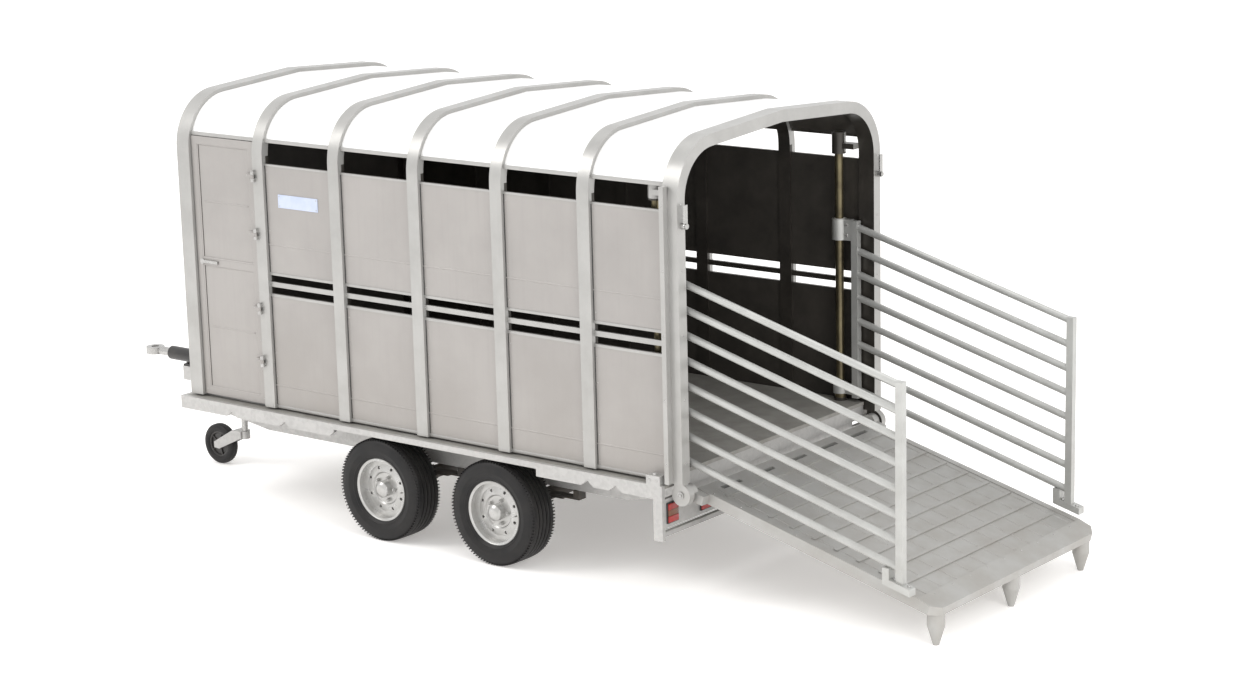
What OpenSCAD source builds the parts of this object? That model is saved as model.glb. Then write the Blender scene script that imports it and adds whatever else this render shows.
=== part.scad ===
// Twin-axle flatbed trailer with a demountable livestock box, ramp and ramp gates.
// +X runs to the rear, +Y to the offside, +Z up. The ground is z = 0.
// Inside the modules x = 0 is the front face of the box; place() centres the whole trailer on the origin.

/* [Box] */
// Length of the livestock box
box_len = 3660; // [3400:10:3900]
// Width of the box over its hoops
box_w = 1880; // [1840:2:1900]
// Height of the underside of the box
box_bottom = 652; // [648:1:656]
// Height of the lower edge of the roof sheets
eave_z = 2225; // [2200:1:2240]
// Height of the ridge over the hoops
ridge_z = 2488; // [2460:1:2520]
// Radius of the roof's shoulders
shoulder_r = 320; // [300:1:340]
// Slope of the roof in degrees
roof_slope = 3.5; // [2:0.5:5]
// Height of the open vent under the eave
vent_h = 137; // [100:1:150]
// Width of a hoop along the box
hoop_w = 80; // [60:1:90]
// Depth of a hoop across its tube
hoop_t = 50; // [40:1:55]
// Depth of the rear hoop across its tube
rear_hoop_t = 65; // [55:1:65]
// Thickness of the side panels
panel_t = 20; // [12:1:20]

/* [Platform] */
// Height of the platform's top
deck_z = 640; // [636:1:644]
// Width of the platform over its side rails
platform_w = 1970; // [1960:1:1980]
// Height of the platform's side rails
rail_h = 76; // [60:1:90]
// Depth of the main chassis beams
beam_h = 200; // [160:1:210]

/* [Running gear] */
// Radius of the tyres
tyre_r = 298; // [285:1:300]
// Width of a tyre
tyre_w = 200; // [165:1:205]
// Radius of the rims
rim_r = 181; // [170:1:190]
// Distance between the axles
axle_gap = 840; // [700:5:900]
// Distance of the middle of the axle pair from the front of the box
axle_mid = 1958; // [1900:1:2000]

/* [Ramp and gates] */
// Length of the ramp from its hinge
ramp_len = 1530; // [1450:5:1550]
// Width of the ramp
ramp_w = 1630; // [1600:2:1636]
// Slope of the ramp when it is down, in degrees
ramp_slope = 14.8; // [14:0.1:15]
// Distance of each gate's plane from the middle
gate_y = 842; // [840:1:844]
// Spacing of the gate bars up the post
bar_pitch = 134; // [130:1:136]
// Radius of a gate bar
bar_r = 19; // [15:0.5:19.5]

/* [Hidden] */

$fn = 64;
eps = 1;
fit = 0.05;

near = -1;
far = 1;

// Colours
light_grey = [0.78, 0.77, 0.75];
panel_grey = [0.75, 0.74, 0.72];
dark_grey = [0.3, 0.3, 0.3];
black = [0.08, 0.08, 0.08];

// Hoops: the front one stands at the front face, then one at each bay
bays = 6;
end_hoop_w = 100;
first_rib_x = 660;
rib_pitch = 596;
function hoop_x(i) = i == 0 ? end_hoop_w / 2 : first_rib_x + rib_pitch * (i - 1);
function hoop_width(i) = i == 0 ? end_hoop_w : hoop_w;
rear_hoop_x = box_len - end_hoop_w / 2;
function bay_start(i) = hoop_x(i) + hoop_width(i) / 2;
function bay_end(i) = i == bays - 1 ? box_len - end_hoop_w : hoop_x(i + 1) - hoop_w / 2;

// Shoulder centres, so that the roof slope is tangent to the shoulder arcs
half_w = box_w / 2;
shoulder_y = half_w - shoulder_r;
shoulder_z = ridge_z - (shoulder_r + shoulder_y * sin(roof_slope)) / cos(roof_slope);

// Side wall heights
panel_y = half_w - 20;
floor_top = 700;
floor_t = 20;
vent_z = eave_z - vent_h - 1;
lower_top = 1331;
slat_z0 = 1372;
slat_z1 = 1401;
upper_bottom = 1441;
roof_inset = 22;
roof_t = 5;

// Rear corner posts
post_y = 35;
post_x0 = box_len - 90;
post_x1 = box_len - 62;

// Platform
platform_x0 = -20;
platform_x1 = box_len - 102;
deck_t = 20;
rail_t = 25;
beam_y = 665;
beam_w = 50;
beam_top = deck_z - deck_t;
beam_x1 = platform_x1 - 26;
beam_bottom = beam_top - beam_h;

// Running gear
axle_z = tyre_r;
wheel_y = 886;
axle_xs = [axle_mid - axle_gap / 2, axle_mid + axle_gap / 2];
stub_r = 30;
nut_ring_r = 68;
rim_hole_r = 9;
nuts = 5;

// Ramp
hinge_x = box_len - 20;
hinge_z = 592;
pin_r = 13;
lug_r = 58;
lug_y0 = 890;
lug_t = 40;
deck_w0 = 20;
ramp_rail_w = 24;
ramp_under = 36;
lip_len = 120;
lip_tip_w = 8;
lip_tip_t = 46;
foot_x = hinge_x + 1425;
foot_ys = [-731, 0, 731];
foot_r = 46;
foot_tip_r = 16;
foot_taper = 100;
catch_y = 905;
catch_z = 2012;
catch_pin_r = 8;

// Gates
rod_x = 3450;
rod_r = 24;
rod_ring_r = 32;
bush_r = 30;
collar_r = 42;
rod_top = 2240;
gate_in_x = 3560;
gate_out_x = 4931;
gate_post = 40;
bar_top_out = 1335;
bars = 8;
bar_slope = 0.277;
gate_foot_z = 292;
gate_top_out = 1352;
collar_top = [1630, 1750];
collar_low = [742, 802];
gate_in_z = [725, 1742];
function bar_z(i, x) = bar_top_out - bar_pitch * i + bar_slope * (gate_out_x - x);

// Side door, in the nearside front bay
door_x0 = 104;
door_x1 = 612;
door_z0 = 660;
door_z1 = 2205;
door_hinge_x = 630;
door_hinge_y = -954;
door_pin_r = 6;
knuckle_r = 12;
door_hinge_zs = [2012, 1675, 1237, 925];
latch_x = 150;
latch_z = 1465;

// Drawbar and jockey wheel
eye_x = -1340;
eye_r = 60;
eye_bore_r = 25.5;
eye_z = 560;
housing_x0 = -1180;
housing_x1 = -930;
leg_back = [300, 640];
leg_front = [-950, 45];
leg_h = 90;
leg_w = 60;
housing_r = 44;
draw_tube_r = 28;
leg_z0 = eye_z - housing_r - 2 - leg_h;
brake_pivot = [-885, 56, eye_z + 62];
jockey_x = -232;
jockey_y = -300;
jockey_r = 127;
jockey_wheel_x = -452;
jockey_tube_r = 25;
stem_r = 20;
swivel_r = 12;
swivel_z = 240;
tube_z0 = 400;
tube_z1 = 880;
spindle_r = 8;

// The middle of the whole length, from the towing eye to the tip of the ramp
front_tip = eye_x - eye_r;
rear_tip = hinge_x + ramp_len * cos(ramp_slope) + lip_tip_w * sin(ramp_slope);
mid_x = (front_tip + rear_tip) / 2;

module place() translate([-mid_x, 0, 0]) children();

module both_sides() {
    children();
    mirror([0, 1, 0]) children();
}

// A box from its two corners
module block(a, b) translate(a) cube(b - a);

// A cylinder along Y, centred on y
module rod_y(r, x, y0, y1, z) translate([x, y0, z]) rotate([-90, 0, 0]) cylinder(r = r, h = y1 - y0);

module rod_x_axis(r, x0, x1, y, z) translate([x0, y, z]) rotate([0, 90, 0]) cylinder(r = r, h = x1 - x0);

module rod_z(r, x, y, z0, z1) translate([x, y, z0]) cylinder(r = r, h = z1 - z0);

// Cross-section of the box, in Y and Z, taken in by inset
module arch(inset, z0) {
    r = shoulder_r - inset;
    translate([-(half_w - inset), z0]) square([2 * (half_w - inset), shoulder_z - z0]);
    for (s = [-1, 1]) translate([s * shoulder_y, shoulder_z]) circle(r = r, $fn = 96);
    tangent_y = shoulder_y + r * sin(roof_slope);
    tangent_z = shoulder_z + r * cos(roof_slope);
    polygon([
        [-shoulder_y, shoulder_z - eps], [shoulder_y, shoulder_z - eps], [tangent_y, tangent_z],
        [0, ridge_z - inset / cos(roof_slope)], [-tangent_y, tangent_z]
    ]);
}

// Sweeps a Y-Z section along X
module along_x(x0, x1) translate([x0, 0, 0]) rotate([90, 0, 90]) linear_extrude(x1 - x0) children();

module hoop(x, width, depth, z0) along_x(x - width / 2, x + width / 2) difference() {
    arch(0, z0);
    arch(depth, z0 - eps);
}

module bay_hoop(i) color(light_grey) place() hoop(hoop_x(i), hoop_width(i), hoop_t, box_bottom);

module rear_hoop() color(light_grey) place() difference() {
    union() {
        hoop(rear_hoop_x, end_hoop_w, rear_hoop_t, box_bottom);
        both_sides() {
            block([hinge_x - 44, lug_y0, hinge_z], [box_len, lug_y0 + lug_t, box_bottom + 20]);
            rod_y(lug_r, hinge_x, lug_y0, lug_y0 + lug_t, hinge_z);
            rod_x_axis(catch_pin_r, box_len - 5, box_len + 37, catch_y, catch_z);
            rod_x_axis(14, box_len + 32, box_len + 37, catch_y, catch_z);
        }
    }
    both_sides() rod_y(pin_r + fit, hinge_x, lug_y0 - eps, lug_y0 + lug_t + eps, hinge_z);
}

module rear_posts() color(light_grey) place() both_sides()
    block([post_x0, half_w, box_bottom], [post_x1, half_w + post_y, eave_z - 10]);

module roof_sheets() color("white") place() for (i = [0 : bays - 1])
    along_x(bay_start(i), bay_end(i)) difference() {
        arch(roof_inset, eave_z);
        arch(roof_inset + roof_t, eave_z - eps);
        translate([-half_w, 0]) square([box_w, eave_z]);
    }

// The offside has a panel in every bay; on the nearside the door fills the first
module side_strips(z0, z1) {
    for (i = [0 : bays - 1])
        block([bay_start(i), panel_y - panel_t, z0], [bay_end(i), panel_y, z1]);
    for (i = [1 : bays - 1])
        block([bay_start(i), -panel_y, z0], [bay_end(i), -panel_y + panel_t, z1]);
}

module upper_panels() color(panel_grey) place() side_strips(upper_bottom, vent_z);
module lower_panels() color(panel_grey) place() side_strips(box_bottom, lower_top);
module slat_rails() color(light_grey) place() side_strips(slat_z0, slat_z1);

module front_wall() color(panel_grey) place() along_x(30, 50) difference() {
    arch(hoop_t, floor_top);
    translate([-half_w, 0]) square([box_w, floor_top]);
}

floor_y = half_w - hoop_t - 2;

module box_floor() color(dark_grey) place() {
    floor_x1 = box_len - end_hoop_w - 4;
    block([2, -floor_y, floor_top - floor_t], [floor_x1, floor_y, floor_top]);
    block([floor_x1 - eps, -floor_y + 18, floor_top - floor_t], [floor_x1 + 34, floor_y - 18, floor_top]);
}

module box_sills() color(light_grey) place() {
    sill_top = floor_top - floor_t;
    both_sides() block([2, floor_y - 60, deck_z], [3556, floor_y, sill_top]);
    for (x = [2, 900, 1800, 2700, 3496])
        block([x, -(floor_y - 60), deck_z], [x + 60, floor_y - 60, sill_top]);
    // Apron that closes the end of the floor above the ramp's hinge
    block([3556 - eps, -(floor_y - 60), deck_z + 2], [3586, floor_y - 60, sill_top]);
    block([platform_x1 + 2, -(floor_y - 20), deck_z - 34], [3586, floor_y - 20, sill_top]);
}

// Gate rods, each with the ring that carries the gate
module gate_rod(side) color([0.66, 0.6, 0.42]) place() {
    rod_z(rod_r, rod_x, side * gate_y, floor_top, rod_top);
    rod_z(rod_ring_r, rod_x, side * gate_y, floor_top + 18, collar_low[0]);
}

module rod_brackets() color(dark_grey) place() both_sides() {
    difference() {
        union() {
            rod_z(38, rod_x, gate_y, floor_top, floor_top + 18);
            rod_z(40, rod_x, gate_y, rod_top - 120, rod_top);
            block([rod_x + 10, gate_y - 20, rod_top - 90], [box_len - end_hoop_w, gate_y + 43, rod_top - 60]);
        }
        rod_z(rod_r, rod_x, gate_y, floor_top - eps, rod_top + eps);
    }
}

// Towing frame and platform
module platform_deck() color(dark_grey) place()
    block([platform_x0, -(platform_w / 2 - rail_t), beam_top], [platform_x1, platform_w / 2 - rail_t, deck_z]);

hook_xs = [380, 815, 1215, 3060, 3250];

module platform_rails() color(light_grey) place() {
    y0 = platform_w / 2 - rail_t;
    z0 = deck_z - rail_h;
    wheel_x0 = axle_xs[0] - 330;
    wheel_x1 = axle_xs[1] + 330;
    both_sides() difference() {
        block([platform_x0, y0, z0], [platform_x1, y0 + rail_t, deck_z]);
        block([wheel_x0, y0 - eps, z0 - eps], [wheel_x1, y0 + rail_t + eps, deck_z - 34]);
        for (x = hook_xs) translate([x, y0 - eps, z0 - eps]) rotate([90, 0, 0]) mirror([0, 0, 1])
            linear_extrude(rail_t + 2 * eps) polygon([[-45, 0], [45, 0], [0, 34]]);
    }
    block([platform_x0 - 25, -y0 - rail_t, z0], [platform_x0, y0 + rail_t, deck_z]);
}

module chassis_frame() color(light_grey) place() {
    both_sides() translate([0, beam_y + beam_w / 2, 0]) rotate([90, 0, 0]) linear_extrude(beam_w) polygon([
        [platform_x0, beam_top], [beam_x1, beam_top], [beam_x1, beam_top - 110],
        [axle_xs[1] + 700, beam_bottom], [380, beam_bottom], [platform_x0, beam_bottom + 60]
    ]);
    for (x = [40, 700, 1300, 1920, 2620, 3200])
        block([x, -(beam_y - beam_w / 2), beam_top - 90], [x + 60, beam_y - beam_w / 2, beam_top]);
}

// One leg of the A-frame as a straight bar between two points in plan
module leg() {
    d = leg_front - leg_back;
    translate([leg_back[0], leg_back[1], leg_z0]) rotate([0, 0, atan2(d[1], d[0])])
        translate([0, -leg_w / 2, 0]) cube([norm(d), leg_w, leg_h]);
}

module drawbar_frame() color(light_grey) place() difference() {
    union() {
        both_sides() leg();
        block([-990, -90, leg_z0], [-850, 90, leg_z0 + leg_h]);
        block([200, -(beam_y - beam_w / 2), leg_z0], [260, beam_y - beam_w / 2, leg_z0 + 60]);
    }
    both_sides() block([-100, beam_y - beam_w / 2, leg_z0 - eps], [500, beam_y + beam_w, leg_z0 + leg_h + eps]);
}

flange_z = leg_z0 + leg_h;
flange_bolts = [[-965, -66], [-965, 66], [-875, -66], [-875, 66]];

module overrun_housing() color(black) place() difference() {
    union() {
        rod_x_axis(housing_r, housing_x0, housing_x1 + 40, 0, eye_z);
        block([-990, -85, flange_z], [-850, 85, flange_z + 12]);
        block([-990, -40, flange_z], [-850, 40, eye_z - 10]);
        for (p = flange_bolts) translate([p[0], p[1], flange_z + 10]) cylinder(r = 13, h = 12, $fn = 6);
        block([-905, 40, eye_z], [-865, brake_pivot[1], eye_z + 82]);
        rod_y(8, brake_pivot[0], brake_pivot[1] - 10, brake_pivot[1] + 18, brake_pivot[2]);
    }
    rod_x_axis(draw_tube_r + fit, housing_x0 - eps, housing_x1 + 81, 0, eye_z);
}

module towing_eye() color(light_grey) place() difference() {
    union() {
        rod_x_axis(draw_tube_r, eye_x + eye_r - 12, -905, 0, eye_z);
        rod_z(eye_r, eye_x, 0, eye_z - 22, eye_z + 22);
    }
    rod_z(eye_bore_r, eye_x, 0, eye_z - 40, eye_z + 40);
}

lever_len = 330;

module brake_lever() color(black) place() {
    y0 = brake_pivot[1] + 1;
    difference() {
        union() {
            rod_y(18, brake_pivot[0], y0, y0 + 10, brake_pivot[2]);
            block([brake_pivot[0], y0, brake_pivot[2] - 13], [brake_pivot[0] + lever_len - 100, y0 + 10, brake_pivot[2] + 13]);
            rod_x_axis(14, brake_pivot[0] + lever_len - 110, brake_pivot[0] + lever_len, y0 + 5, brake_pivot[2]);
        }
        rod_y(8 + fit, brake_pivot[0], y0 - eps, y0 + 10 + eps, brake_pivot[2]);
    }
}

// Running gear
axle_r = 38;
module axle(x) color(dark_grey) place() {
    rod_y(axle_r, x, -790, 790, axle_z);
    both_sides() {
        rod_y(120, x, 790, 797, axle_z);
        rod_y(stub_r, x, 797, wheel_y + 50, axle_z);
    }
}
module axle_front() axle(axle_xs[0]);
module axle_rear() axle(axle_xs[1]);

leaf_t = 10;
leaf_z = axle_z + axle_r + 10;
leaf_half = [150, 270, 385];
module leaf_springs() color(dark_grey) place() both_sides() for (x = axle_xs)
    for (i = [0 : len(leaf_half) - 1])
        block([x - leaf_half[i], beam_y - 30, leaf_z + leaf_t * i],
              [x + leaf_half[i], beam_y + 30, leaf_z + leaf_t * (i + 1)]);

// Hangers over the spring ends, saddles under the springs, and clamp plates over them
module spring_hangers() color(dark_grey) place() both_sides() for (x = axle_xs) {
    leaf_top = leaf_z + leaf_t * len(leaf_half);
    for (end = [-1, 1]) {
        hanger_x = x + end * 365;
        block([hanger_x - 20, beam_y - 30, leaf_top], [hanger_x + 20, beam_y + 30, beam_bottom]);
    }
    block([x - 55, beam_y - 30, leaf_top], [x + 55, beam_y + 30, leaf_top + 12]);
    difference() {
        block([x - 50, beam_y - 30, axle_z + 12], [x + 50, beam_y + 30, leaf_z]);
        rod_y(axle_r, x, beam_y - 31, beam_y + 31, axle_z);
    }
}

// Turns local +Z outwards along Y at a wheel's centre
module at_wheel(x, side) place() translate([x, side * wheel_y, axle_z]) rotate([-90 * side, 0, 0]) children();

half_tread = tyre_w / 2;
module tyre(x, side) color(black) at_wheel(x, side) rotate_extrude($fn = 96) polygon([
    [rim_r, -half_tread * 0.82], [rim_r + 22, -half_tread * 0.94], [rim_r + 58, -half_tread],
    [tyre_r - 24, -half_tread * 0.96], [tyre_r - 7, -half_tread * 0.86], [tyre_r, -half_tread * 0.7],
    [tyre_r, half_tread * 0.7], [tyre_r - 7, half_tread * 0.86], [tyre_r - 24, half_tread * 0.96],
    [rim_r + 58, half_tread], [rim_r + 22, half_tread * 0.94], [rim_r, half_tread * 0.82]
]);

disc_z = 22;
rim_holes = 8;
module rim(x, side) color("silver") at_wheel(x, side) difference() {
    union() {
        rotate_extrude($fn = 96) polygon([
            [rim_r - 14, -76], [rim_r, -80], [rim_r, 80], [rim_r - 14, 76], [rim_r - 12, disc_z + 14],
            [rim_r - 42, disc_z + 12], [96, disc_z + 20], [88, disc_z + 12], [88, disc_z],
            [96, disc_z + 8], [rim_r - 46, disc_z], [rim_r - 14, disc_z]
        ]);
        translate([0, 0, disc_z]) cylinder(r = 90, h = 12);
        translate([0, 0, -78]) cylinder(r = 46, h = 78 + disc_z + 52);
        translate([0, 0, -80]) difference() {
            cylinder(r = 112, h = 80 + disc_z);
            translate([0, 0, -eps]) cylinder(r = 100, h = 70 + disc_z);
        }
        for (i = [0 : nuts - 1]) rotate(i * 360 / nuts) 
            translate([nut_ring_r, 0, disc_z + 10]) cylinder(r = 11, h = 18, $fn = 6);
    }
    translate([0, 0, -90]) cylinder(r = stub_r + fit, h = 90 + disc_z + 40);
    for (i = [0 : rim_holes - 1]) rotate((i + 0.5) * 360 / rim_holes)
        translate([122, 0, disc_z - 8]) cylinder(r = rim_hole_r, h = 50);
}

module tyre_front_near() tyre(axle_xs[0], near);
module tyre_front_far() tyre(axle_xs[0], far);
module tyre_rear_near() tyre(axle_xs[1], near);
module tyre_rear_far() tyre(axle_xs[1], far);
module rim_front_near() rim(axle_xs[0], near);
module rim_front_far() rim(axle_xs[0], far);
module rim_rear_near() rim(axle_xs[1], near);
module rim_rear_far() rim(axle_xs[1], far);

// Lamp board between drop brackets at the rear of the platform
lamp_z0 = 408;
module lamp_board() color(light_grey) place() {
    rail_bottom = deck_z - rail_h;
    board_y = platform_w / 2 - rail_t;
    block([platform_x1 - 24, -board_y, lamp_z0], [platform_x1, board_y, rail_bottom]);
    block([platform_x1 - 40, -board_y, 354], [platform_x1 - 15, board_y, 379]);
    both_sides() block([platform_x1 - 58, board_y, 340], [platform_x1, platform_w / 2, rail_bottom]);
}
module lamp_lenses() color([0.5, 0.05, 0.04]) place() both_sides() for (y = [565, 855])
    block([platform_x1, y, lamp_z0 + 22], [platform_x1 + 14, y + 95, lamp_z0 + 134]);

module box_clamps() color(light_grey) place() both_sides() {
    block([box_len - 205, panel_y, deck_z], [box_len - 115, platform_w / 2 - 1, deck_z + 50]);
    rod_z(12, box_len - 160, panel_y + 45, deck_z + 50, deck_z + 62);
    block([platform_x0 - 20, 500, deck_z], [2, 600, deck_z + 38]);
    rod_z(12, platform_x0 - 4, 550, deck_z + 38, deck_z + 50);
}

// Side door in the nearside front bay
knuckle_h = 20;
module at_door_hinges() for (z = door_hinge_zs) translate([door_hinge_x, door_hinge_y, z]) children();

module door_hinge_lugs() color(light_grey) place() at_door_hinges() for (s = [-1, 1])
    translate([0, 0, s * (knuckle_h + 1)]) difference() {
        union() {
            cylinder(r = knuckle_r, h = knuckle_h, center = true);
            translate([-4, 0, -knuckle_h / 2]) cube([16, -half_w - door_hinge_y, knuckle_h]);
        }
        cylinder(r = door_pin_r, h = knuckle_h + 2, center = true);
    }

module door_hinge_pins() color("silver") place() at_door_hinges() {
    cylinder(r = door_pin_r, h = 3 * knuckle_h + 2, center = true);
    translate([0, 0, 1.5 * knuckle_h + 1]) cylinder(r = 9, h = 5);
}

door_border = 42;
recess = 8;
module side_door() color(panel_grey) place() {
    mid_z = [1447, 1483];
    difference() {
        union() {
            difference() {
                block([door_x0, -panel_y, door_z0], [door_x1, -panel_y + panel_t, door_z1]);
                for (z = [[door_z0 + door_border, mid_z[0]], [mid_z[1], door_z1 - door_border]])
                    block([door_x0 + door_border, -panel_y - eps, z[0]], [door_x1 - door_border, -panel_y + recess, z[1]]);
            }
            at_door_hinges() {
                z0 = -knuckle_h / 2;
                cylinder(r = knuckle_r, h = knuckle_h, center = true);
                translate([-74, 20, z0]) cube([61, 14, knuckle_h]);
                translate([-30, -6, z0]) cube([17, 30, knuckle_h]);
                translate([-30, -6, z0]) cube([28, 12, knuckle_h]);
            }
        }
        at_door_hinges() cylinder(r = door_pin_r + fit, h = knuckle_h + 2, center = true);
        rod_y(8 + fit, latch_x, -panel_y - eps, -panel_y + panel_t + eps, latch_z);
    }
}

module door_latch() color("silver") place() {
    rod_y(8, latch_x, -panel_y - 12, -panel_y + panel_t, latch_z);
    rod_y(17, latch_x, -panel_y - 12, -panel_y - 1, latch_z);
    block([latch_x, -panel_y - 12, latch_z - 9], [latch_x + 125, -panel_y - 4, latch_z + 9]);
}

// Ramp: u runs down the ramp from the hinge, y across it, and w up from it
module ramp_frame_space() place() translate([hinge_x, 0, hinge_z]) rotate([0, ramp_slope, 0]) children();

half_ramp = ramp_w / 2;
ramp_rail_y = half_ramp - 45;
deck_u0 = 16;
lip_u = ramp_len - lip_len;
ear_y = [838, 886];

module ramp_frame() color(light_grey) ramp_frame_space() difference() {
    union() {
        both_sides() {
            block([deck_u0, ramp_rail_y, -ramp_under], [lip_u, half_ramp, ramp_rail_w]);
            rod_y(45, 0, ear_y[0], ear_y[1], 0);
            block([0, half_ramp - 15, -32], [100, 870, 18]);
        }
        for (u = [deck_u0, 360, 680, 1000, 1320])
            block([u, -ramp_rail_y, -ramp_under], [u + 45, ramp_rail_y, 0]);
    }
    both_sides() rod_y(pin_r + fit, 0, half_ramp - 30, ear_y[1] + eps, 0);
}

treads = 9;
module ramp_deck() color(light_grey) ramp_frame_space() difference() {
    union() {
        block([deck_u0, -ramp_rail_y, 0], [lip_u, ramp_rail_y, deck_w0]);
        for (i = [0 : treads - 1])
            block([150 + i * 140, -ramp_rail_y + 20, deck_w0 - eps], [172 + i * 140, ramp_rail_y - 20, deck_w0 + 7]);
    }
    for (i = [-2 : 2]) block([72, i * 300 - 85, -eps], [98, i * 300 + 85, deck_w0 + eps]);
}

module lip_solid() ramp_frame_space() intersection() {
    translate([0, half_ramp, 0]) rotate([90, 0, 0]) linear_extrude(ramp_w) polygon([
        [lip_u, -ramp_under], [lip_u, ramp_rail_w], [lip_u + 30, deck_w0],
        [ramp_len, lip_tip_w], [ramp_len, lip_tip_w - lip_tip_t]
    ]);
    translate([0, 0, -100]) linear_extrude(200) polygon([
        [lip_u, -half_ramp], [ramp_len - 45, -half_ramp], [ramp_len, -half_ramp + 60],
        [ramp_len, half_ramp - 60], [ramp_len - 45, half_ramp], [lip_u, half_ramp]
    ]);
}
module ramp_lip() color(light_grey) lip_solid();

module ramp_feet() color(light_grey) difference() {
    place() for (y = foot_ys) translate([foot_x, y, 0]) {
        cylinder(r1 = foot_tip_r, r2 = foot_r, h = foot_taper);
        translate([0, 0, foot_taper - eps]) cylinder(r = foot_r, h = 195 - foot_taper);
    }
    lip_solid();
}

module ramp_hinge_pins() color("silver") place() both_sides() {
    rod_y(pin_r, hinge_x, 832, lug_y0 + lug_t + 6, hinge_z);
    rod_y(20, hinge_x, lug_y0 + lug_t, lug_y0 + lug_t + 8, hinge_z);
}

module ramp_catch(side) color("silver") place() difference() {
    union() {
        rod_x_axis(16, box_len + 1, box_len + 30, side * catch_y, catch_z);
        translate([box_len + 22, side * catch_y - 14, catch_z]) cube([8, 28, 110]);
    }
    rod_x_axis(catch_pin_r + fit, box_len, box_len + 31, side * catch_y, catch_z);
}
module ramp_catch_near() ramp_catch(near);
module ramp_catch_far() ramp_catch(far);

// Gates
module gate_rod_near() gate_rod(near);
module gate_rod_far() gate_rod(far);

module sleeve_ring(r0, r1, y, z) translate([rod_x, y, z[0]]) difference() {
    cylinder(r = r1, h = z[1] - z[0]);
    translate([0, 0, -eps]) cylinder(r = r0, h = z[1] - z[0] + 2 * eps);
}

module gate_bushes(side) color("white") place() for (z = [collar_low, collar_top])
    sleeve_ring(rod_r + fit, bush_r, side * gate_y, [z[0], z[1] + 1]);
module gate_bushes_near() gate_bushes(near);
module gate_bushes_far() gate_bushes(far);

module gate(side) color(light_grey) place() translate([0, side * gate_y, 0]) {
    half = gate_post / 2;
    shoe_y = side * 6;
    block([gate_in_x - half, -half, gate_in_z[0]], [gate_in_x + half, half, gate_in_z[1]]);
    block([gate_out_x - half, -half, gate_foot_z + 20], [gate_out_x + half, half, gate_top_out]);
    for (z = [collar_low, collar_top]) difference() {
        union() {
            rod_z(collar_r, rod_x, 0, z[0] + 0.5, z[1]);
            block([rod_x, -16, z[0] + 0.5], [gate_in_x - half, 16, z[1]]);
        }
        rod_z(bush_r + fit, rod_x, 0, z[0] - eps, z[1] + eps);
    }
    for (i = [0 : bars - 1]) {
        dx = gate_out_x - gate_in_x;
        translate([gate_in_x, 0, bar_z(i, gate_in_x)]) rotate([0, 90 + atan(bar_slope), 0])
            cylinder(r = bar_r, h = dx / cos(atan(bar_slope)));
    }
    // Foot shoe, parallel to the ramp, with an upright tab at its front
    block([gate_out_x - 90, shoe_y - 28, gate_foot_z + 30], [gate_out_x - 50, shoe_y + 28, gate_foot_z + 108]);
    translate([gate_out_x, shoe_y + 28, gate_foot_z]) rotate([90, 0, 0]) linear_extrude(56) polygon([
        [-90, 90 * tan(ramp_slope)], [70, -70 * tan(ramp_slope)],
        [70, 36 - 70 * tan(ramp_slope)], [-90, 36 + 90 * tan(ramp_slope)]
    ]);
}
module gate_near() gate(near);
module gate_far() gate(far);

// Jockey wheel, clamped inside the nearside drawbar leg
module jockey_tube() color(light_grey) difference() {
    place() translate([jockey_x, jockey_y, 0]) difference() {
        union() {
            rod_z(jockey_tube_r, 0, 0, tube_z0, tube_z1);
            block([-30, -80, leg_z0 + 12], [30, 0, leg_z0 + leg_h - 12]);
            rod_y(9, 0, -5, 48, leg_z0 + leg_h / 2);
        }
        rod_z(stem_r + fit, 0, 0, tube_z0 - eps, tube_z1 - 10);
        rod_z(spindle_r + fit, 0, 0, tube_z1 - 12, tube_z1 + eps);
    }
    place() mirror([0, 1, 0]) leg();
}

module jockey_stem() color("silver") place() translate([jockey_x, jockey_y, 0]) {
    rod_z(stem_r, 0, 0, swivel_z, 600);
    rod_z(swivel_r, 0, 0, swivel_z - 50, swivel_z + eps);
}

fork_gap = 34;
fork_t = 8;
module jockey_fork() color(light_grey) place() translate([jockey_x, jockey_y, 0]) difference() {
    wheel_dx = jockey_wheel_x - jockey_x;
    union() {
        rod_z(30, 0, 0, swivel_z - 48, swivel_z - 1);
        block([-75, -fork_gap - fork_t, swivel_z - 48], [0, fork_gap + fork_t, swivel_z - 1]);
        for (s = [-1, 1]) translate([0, s * (fork_gap + fork_t / 2) + fork_t / 2, 0]) rotate([90, 0, 0])
            linear_extrude(fork_t) polygon([
                [-10, swivel_z - 48], [-10, swivel_z - 1], [-75, swivel_z - 1],
                [wheel_dx - 22, jockey_r + 16], [wheel_dx - 22, jockey_r - 20], [wheel_dx + 20, jockey_r - 24]
            ]);
        rod_y(8, wheel_dx, -fork_gap - fork_t, fork_gap + fork_t, jockey_r);
    }
    rod_z(swivel_r + fit, 0, 0, swivel_z - 60, swivel_z + 5);
}

module jockey_wheel() color(black) place() translate([jockey_wheel_x, jockey_y, jockey_r]) rotate([-90, 0, 0])
    difference() {
        union() {
            rotate_extrude() polygon([
                [70, -26], [jockey_r - 16, -30], [jockey_r - 3, -24], [jockey_r, -14],
                [jockey_r, 14], [jockey_r - 3, 24], [jockey_r - 16, 30], [70, 26]
            ]);
            cylinder(r = 72, h = 20, center = true);
            cylinder(r = 22, h = 60, center = true);
        }
        cylinder(r = 8 + fit, h = 70, center = true);
    }

module jockey_crank() color("silver") place() translate([jockey_x, jockey_y, 0]) {
    rod_z(spindle_r, 0, 0, tube_z1 - 30, tube_z1 + 34);
    block([-9, -9, tube_z1 + 22], [120, 9, tube_z1 + 34]);
    rod_z(10, 110, 0, tube_z1 + 34, tube_z1 + 104);
}

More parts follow.
